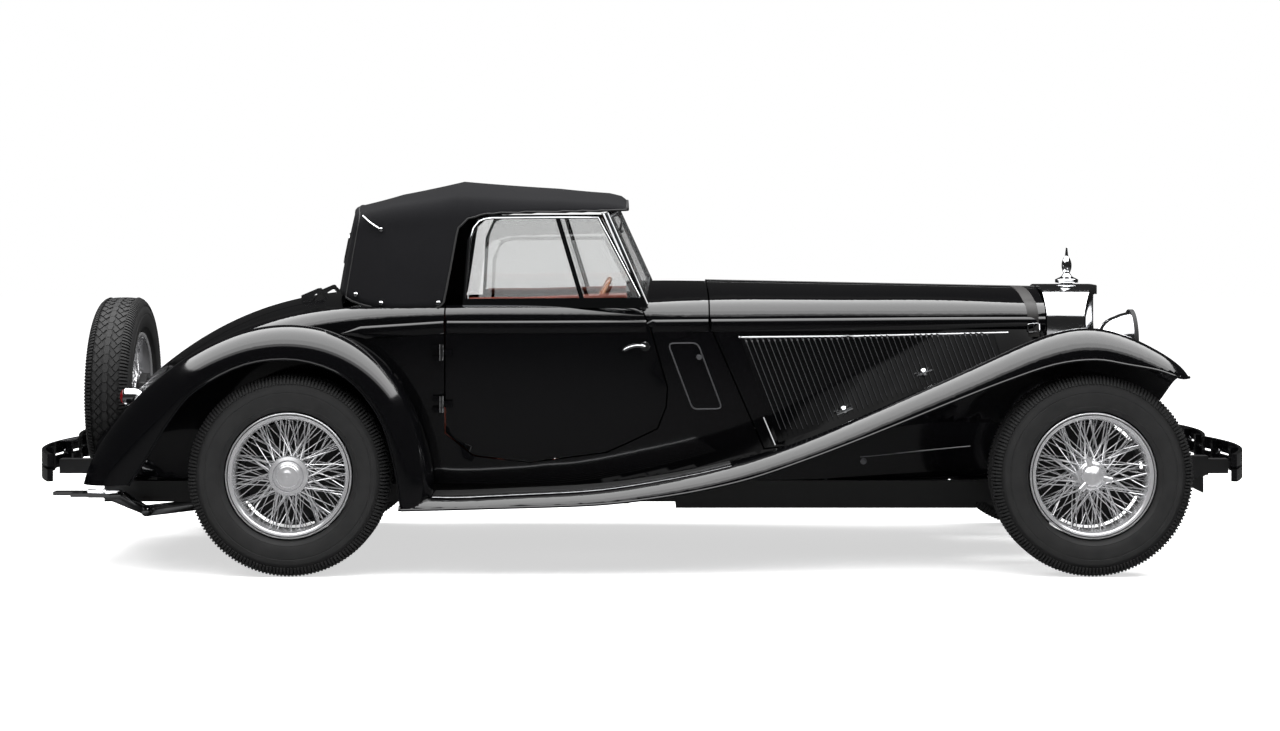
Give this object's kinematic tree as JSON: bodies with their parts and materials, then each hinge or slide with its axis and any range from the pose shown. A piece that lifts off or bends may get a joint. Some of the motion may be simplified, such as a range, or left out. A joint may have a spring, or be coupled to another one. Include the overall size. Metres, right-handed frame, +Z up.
{
  "type": "two-seat open touring car with folding hood",
  "caption": "Long-bonnet 1930s convertible: swept wings, louvred bonnet, raised fabric hood, wire wheels, upright spare on the tail, split windscreen.",
  "frame": {"origin": "on the ground under the middle of the overall length and width", "axes": "+X forward, +Y to the car's left, +Z up"},
  "size_m": [4.6286, 1.7416, 1.4759],
  "materials": {
    "body_paint": "deep gloss black coachwork enamel",
    "chassis_paint": "satin black chassis paint",
    "cast_metal": "painted cast iron",
    "bright_chrome": "polished chrome plate",
    "clear_glass": "clear flat glass",
    "hood_fabric": "matt black weatherproof double-duck fabric",
    "seat_leather": "reddish brown leather",
    "wood_trim": "polished wood",
    "plate_black": "blank black plate",
    "tyre_rubber": "matt black tread and sidewall rubber"
  },
  "bodies": {
    "root": {"body_hinges": "bright_chrome", "body_shell": "body_paint", "bonnet_hinge_rail": "chassis_paint", "bonnet_sills": "body_paint", "bumper_front": "body_paint", "bumper_rear": "body_paint", "chassis_frame": "chassis_paint", "dashboard": "wood_trim", "engine_block": "cast_metal", "exhaust": "bright_chrome", "firewall": "chassis_paint", "floor_pan": "chassis_paint", "front_axle": "chassis_paint", "front_wing_left": "body_paint", "front_wing_right": "body_paint", "fuel_tank": "chassis_paint", "headlamp_glass": "clear_glass", "headlamps": "bright_chrome", "number_plate_front": "plate_black", "radiator_cap": "bright_chrome", "radiator_grille": "bright_chrome", "radiator_shell": "bright_chrome", "rear_axle": "chassis_paint", "rear_wing_left": "body_paint", "rear_wing_right": "body_paint", "seat_back": "seat_leather", "seat_cushion": "seat_leather", "soft_top": "hood_fabric", "spare_carrier": "chassis_paint", "steering_column": "chassis_paint", "tail_lamps": "bright_chrome", "tyre_spare": "tyre_rubber", "undertray": "chassis_paint", "wheel_spare": "bright_chrome", "windscreen_frame": "bright_chrome", "windscreen_glass": "clear_glass"},
    "door_left": {"door_left": "body_paint", "window_frame_left": "bright_chrome", "window_glass_left": "clear_glass", "door_fittings_left": "bright_chrome"},
    "door_right": {"door_right": "body_paint", "window_frame_right": "bright_chrome", "window_glass_right": "clear_glass", "door_fittings_right": "bright_chrome"},
    "bonnet_left": {"bonnet_left": "body_paint"},
    "bonnet_right": {"bonnet_right": "body_paint"},
    "boot_lid": {"boot_lid": "body_paint", "boot_lid_hinges": "bright_chrome"},
    "knuckle_left": {"steering_knuckle_left": "chassis_paint"},
    "knuckle_right": {"steering_knuckle_right": "chassis_paint"},
    "steering_wheel": {"steering_wheel": "wood_trim"},
    "wheel_front_left": {"wheel_front_left": "bright_chrome", "tyre_front_left": "tyre_rubber"},
    "wheel_front_right": {"wheel_front_right": "bright_chrome", "tyre_front_right": "tyre_rubber"},
    "wheel_rear_left": {"wheel_rear_left": "bright_chrome", "tyre_rear_left": "tyre_rubber"},
    "wheel_rear_right": {"wheel_rear_right": "bright_chrome", "tyre_rear_right": "tyre_rubber"}
  },
  "joints": [
    {"name": "steer_right", "type": "hinge", "parent": "root", "child": "knuckle_right", "pos_m": [1.67, -0.632, 0.376], "axis": [0, 0, 1], "range_deg": [-30, 30]},
    {"name": "steer_left", "type": "hinge", "parent": "root", "child": "knuckle_left", "pos_m": [1.67, 0.632, 0.376], "axis": [0, 0, 1], "range_deg": [-30, 30]},
    {"name": "steering_wheel_turn", "type": "hinge", "parent": "root", "child": "steering_wheel", "pos_m": [-0.222, -0.33, 0.919], "axis": [-0.8746, 0, 0.4848], "range_deg": [-360, 360]},
    {"name": "door_left_hinge", "type": "hinge", "parent": "root", "child": "door_left", "pos_m": [-0.7545, 0.68, 0.72], "axis": [0, 0, 1], "range_deg": [0, 65]},
    {"name": "door_right_hinge", "type": "hinge", "parent": "root", "child": "door_right", "pos_m": [-0.7545, -0.68, 0.72], "axis": [0, 0, -1], "range_deg": [0, 65]},
    {"name": "bonnet_left_hinge", "type": "hinge", "parent": "root", "child": "bonnet_left", "pos_m": [0.9, 0, 1.066], "axis": [0.9998, 0, -0.0201], "range_deg": [0, 55]},
    {"name": "bonnet_right_hinge", "type": "hinge", "parent": "root", "child": "bonnet_right", "pos_m": [0.9, 0, 1.066], "axis": [-0.9998, 0, 0.0201], "range_deg": [0, 55]},
    {"name": "boot_lid_hinge", "type": "hinge", "parent": "root", "child": "boot_lid", "pos_m": [-1.27, 0, 1.045], "axis": [0, 1, 0], "range_deg": [0, 60]},
    {"name": "wheel_front_left_spin", "type": "hinge", "parent": "knuckle_left", "child": "wheel_front_left", "pos_m": [1.67, 0.752, 0.376], "axis": [0, 1, 0], "continuous": true},
    {"name": "wheel_front_right_spin", "type": "hinge", "parent": "knuckle_right", "child": "wheel_front_right", "pos_m": [1.67, -0.752, 0.376], "axis": [0, 1, 0], "continuous": true},
    {"name": "wheel_rear_left_spin", "type": "hinge", "parent": "root", "child": "wheel_rear_left", "pos_m": [-1.31, 0.752, 0.376], "axis": [0, 1, 0], "continuous": true},
    {"name": "wheel_rear_right_spin", "type": "hinge", "parent": "root", "child": "wheel_rear_right", "pos_m": [-1.31, -0.752, 0.376], "axis": [0, 1, 0], "continuous": true}
  ],
  "couplings": [
    {"joint": "steer_left", "follows": "steer_right", "ratio": 1},
    {"joint": "steering_wheel_turn", "follows": "steer_right", "ratio": 12}
  ]
}
